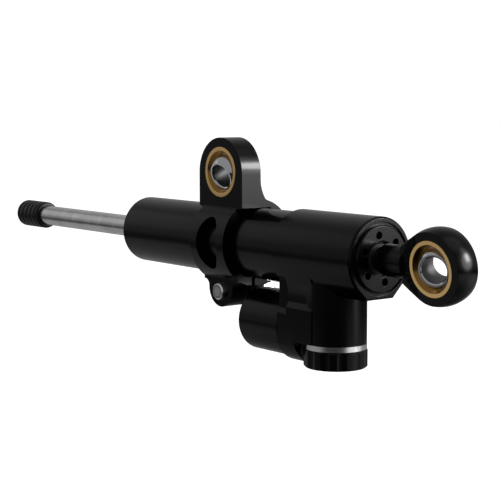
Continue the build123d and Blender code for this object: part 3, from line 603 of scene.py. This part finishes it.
def turning(name, half_section, axis, centre=(0.0, 0.0, 0.0)):
    """Turned solid from the points of its half section, whose two ends lie on the axis."""
    centre = Vector(centre)
    along = Vector(axis).normalized()
    side = along.orthogonal().normalized()
    other = along.cross(side)
    points = [centre + along * half_section[0][0], centre + along * half_section[-1][0]]
    rows = half_section[1:-1]
    for place, radius in rows:
        for step in range(ROUND_SIDES):
            angle = 2 * pi * step / ROUND_SIDES
            points.append(
                centre + along * place + (cos(angle) * side + sin(angle) * other) * radius
            )
    last = 2 + (len(rows) - 1) * ROUND_SIDES
    faces = []
    for step in range(ROUND_SIDES):
        after = (step + 1) % ROUND_SIDES
        faces.append((0, 2 + step, 2 + after))
        faces.append((1, last + after, last + step))
        for row in range(2, last, ROUND_SIDES):
            following = row + ROUND_SIDES
            faces.append((row + step, following + step, following + after, row + after))
    return solid(name, points, faces)


def drum(name, radius, start, end, axis, centre=(0.0, 0.0, 0.0)):
    half_section = [(start, 0.0), (start, radius), (end, radius), (end, 0.0)]
    return turning(name, half_section, axis, centre)


def arc(centre, radius, start, end):
    """Points of an arc in the outline's plane, from angle start to angle end."""
    angles = [start + (end - start) * step / ARC_STEPS for step in range(ARC_STEPS + 1)]
    return [(centre[0] + radius * cos(angle), centre[1] + radius * sin(angle)) for angle in angles]


def both_sides(half_outline, middle=0.0):
    """Whole outline from its half, mirrored about middle."""
    mirrored = [(middle - a, z) for a, z in reversed(half_outline)]
    return [(middle + a, z) for a, z in half_outline] + mirrored


def shaped(piece, *changes):
    """The piece after it is joined with, kept to or cut by the tools, which are used up."""
    for operation, tool in changes:
        modifier = piece.modifiers.new(operation, "BOOLEAN")
        modifier.operation = operation
        modifier.object = tool
        modifier.solver = "EXACT"
    graph = bpy.context.evaluated_depsgraph_get()
    mesh = bpy.data.meshes.new_from_object(piece.evaluated_get(graph))
    piece.modifiers.clear()
    piece.data = mesh
    for _, tool in changes:
        bpy.data.objects.remove(tool)
    return piece


def copy_of(node, name):
    """A new piece with the node's shape, and without the normals that were made for the node."""
    mesh = bpy.data.meshes.new(name)
    shape = bmesh.new()
    shape.from_mesh(frame["nodes"][node].data)
    bmesh.ops.remove_doubles(shape, verts=shape.verts, dist=MERGE)
    shape.to_mesh(mesh)
    shape.free()
    if "custom_normal" in mesh.attributes:
        mesh.attributes.remove(mesh.attributes["custom_normal"])
    piece = bpy.data.objects.new(name, mesh)
    bpy.context.scene.collection.objects.link(piece)
    return piece


def stand_for(piece, node, body):
    """Gives the piece the node's finish and place in the part."""
    mesh = piece.data
    mesh.shade_smooth()
    mesh.set_sharp_from_angle(angle=radians(SHARP_ANGLE))
    mesh.materials.clear()
    mesh.materials.append(MATERIALS[node])
    even = piece.modifiers.new("even_normals", "WEIGHTED_NORMAL")
    even.keep_sharp = True
    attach(piece, body)
    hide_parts(node)


# Valve housing

BARREL_R = 13.0 * MM
BARREL_INNER_R = 11.9 * MM  # inside the barrel's wall
TUBE_SEAT_R = 11.02 * MM
BOSS_CORE_R = 9.0 * MM
WAIST_HALF_WIDTH = 9.3 * MM
WAIST_BLEND = 18.0 * MM
SHOULDER_DROP = 16.0 * MM
SHOULDER_HEIGHT = 1.8 * MM
BLOCK_HALF_WIDTH = 10.4 * MM
BLOCK_START = 4.6 * MM      # past the reservoir's seat in the housing

housing_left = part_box("valve_housing")[0].x
housing_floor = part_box("valve_housing")[0].z
boss_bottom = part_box("index_ring")[1].z
boss_x = centre_of("index_ring").x


def waist_and_block():
    """The barrel's hollow round into the waist, and under the waist a block with flat sides that
    joins the reservoir's lobe to the boss."""
    blend_y = WAIST_HALF_WIDTH + WAIST_BLEND
    blend_z = -sqrt((BARREL_R + WAIST_BLEND)**2 - blend_y**2)
    blend_turn = asin(-blend_z / (BARREL_R + WAIST_BLEND))
    half_outline = [
        (BARREL_INNER_R * cos(blend_turn), -BARREL_INNER_R * sin(blend_turn)),
        *arc((blend_y, blend_z), WAIST_BLEND, pi - blend_turn, pi),
        (WAIST_HALF_WIDTH, -SHOULDER_DROP),
        (BLOCK_HALF_WIDTH, -SHOULDER_DROP - SHOULDER_HEIGHT),
        (BLOCK_HALF_WIDTH, boss_bottom),
    ]
    block = prism(
        "block", both_sides(half_outline), ALONG_X, housing_left + BLOCK_START, boss_x
    )
    seat = drum("seat", TUBE_SEAT_R, housing_left, boss_x + OVERRUN, ALONG_X)
    core = drum(
        "core", BOSS_CORE_R, boss_bottom - OVERRUN, 0.0, ALONG_Z, centre=(boss_x, 0.0, 0.0)
    )
    return shaped(block, ("DIFFERENCE", seat), ("DIFFERENCE", core))


def beside_lobe(side):
    """What is cut from the lobe, on the side of -Y or +Y, to leave it a flat side."""
    top = -SHOULDER_DROP + SHOULDER_HEIGHT
    bottom = housing_floor - OVERRUN
    near = side * BLOCK_HALF_WIDTH
    far = side * 2 * BLOCK_HALF_WIDTH
    outline = [(near, top), (far, top), (far, bottom), (near, bottom)]
    return prism("flat", outline, ALONG_X, housing_left - OVERRUN, boss_x - OVERRUN)


housing = shaped(
    copy_of("valve_housing", "housing_with_block"),
    ("UNION", waist_and_block()), ("DIFFERENCE", beside_lobe(-1)), ("DIFFERENCE", beside_lobe(1)),
)
stand_for(housing, "valve_housing", "damper_body")

# Clamp bracket

TUBE_HOLE_R = 12.02 * MM
RACE_HOLE_R = 8.52 * MM
RING_HALF_WIDTH = 9.4 * MM
EAR_BACK = -0.8 * MM
EAR_FOOT = 12.15 * MM
EAR_FLARE = 2.6 * MM
FOOT_BACK = 5.1 * MM
FOOT_HEIGHT = 11.5 * MM
FOOT_BLEND = 12.0 * MM

ear_low, ear_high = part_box("clamp_bracket")
ear_half_width = (ear_high.x - ear_low.x) / 2
bearing = centre_of("clamp_race")


def ear_foot():
    """Foot that the back of the ear widens to, as broad as the ear."""
    foot_floor = EAR_FOOT - EAR_FLARE
    blend_y = EAR_BACK + FOOT_BLEND
    blend_z = FOOT_HEIGHT + sqrt(FOOT_BLEND**2 - (blend_y - FOOT_BACK)**2)
    blend_turn = asin((blend_z - FOOT_HEIGHT) / FOOT_BLEND)
    side_outline = [
        (EAR_BACK - OVERRUN, foot_floor),
        (EAR_BACK - OVERRUN, blend_z),
        *arc((blend_y, blend_z), FOOT_BLEND, pi, pi + blend_turn),
        (FOOT_BACK, foot_floor),
    ]
    half_front = [
        (ear_half_width, blend_z + OVERRUN),
        (ear_half_width, EAR_FOOT),
        *arc((RING_HALF_WIDTH + EAR_FLARE, foot_floor), EAR_FLARE, pi / 2, pi),
    ]
    foot = prism(
        "foot", side_outline, ALONG_X, bearing.x - ear_half_width, bearing.x + ear_half_width
    )
    flare = prism(
        "flare", both_sides(half_front, bearing.x), ALONG_Y,
        EAR_BACK - 2 * OVERRUN, FOOT_BACK + OVERRUN,
    )
    tube_hole = drum("tube_hole", TUBE_HOLE_R, ear_low.x - OVERRUN, ear_high.x + OVERRUN, ALONG_X)
    race_hole = drum("race_hole", RACE_HOLE_R, -2 * FOOT_BLEND, 2 * FOOT_BLEND, ALONG_Y, bearing)
    return shaped(foot, ("INTERSECT", flare), ("DIFFERENCE", tube_hole), ("DIFFERENCE", race_hole))


bracket = shaped(copy_of("clamp_bracket", "bracket_with_foot"), ("UNION", ear_foot()))
stand_for(bracket, "clamp_bracket", "damper_body")

# End cap

CAP_PROUD = 0.6 * MM        # from the housing's end to the cap's face
CAP_FRONT = 1.5 * MM        # depth of the cap's raised face

cap = copy_of("end_cap", "proud_end_cap")
cap_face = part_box("end_cap")[1].x
for vertex in cap.data.vertices:
    if vertex.co.x > cap_face - CAP_FRONT:
        vertex.co.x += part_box("valve_housing")[1].x + CAP_PROUD - cap_face
stand_for(cap, "end_cap", "damper_body")

# Rod-end eye

EYE_R = 11.8 * MM
EYE_HALF_WIDTH = 4.15 * MM
NECK_SLOPE = 29.0           # degrees
NECK_REACH = 12.0 * MM
SHANK_CORE_R = 3.02 * MM    # bore for the rod's thread


def eye_neck():
    """Cone from the shank to the eye, between the eye's flats."""
    cone_x = -EYE_R * sin(radians(NECK_SLOPE))
    cone_r = EYE_R * cos(radians(NECK_SLOPE))
    neck_r = cone_r - (NECK_REACH + cone_x) * tan(radians(NECK_SLOPE))
    half_section = [(-NECK_REACH, 0.0), (-NECK_REACH, neck_r), (cone_x, cone_r), (cone_x, 0.0)]
    cone = turning("neck", half_section, ALONG_X)
    slab = drum("slab", 2 * EYE_R, -EYE_HALF_WIDTH, EYE_HALF_WIDTH, EYE_AXIS)
    eye_hole = drum("eye_hole", RACE_HOLE_R, -EYE_R, EYE_R, EYE_AXIS)
    thread_hole = drum("thread_hole", SHANK_CORE_R, -EYE_R - OVERRUN, 0.0, ALONG_X)
    return shaped(cone, ("INTERSECT", slab), ("DIFFERENCE", eye_hole), ("DIFFERENCE", thread_hole))


eye = shaped(copy_of("rod_end_eye", "eye_with_neck"), ("UNION", eye_neck()))
stand_for(eye, "rod_end_eye", "rod")
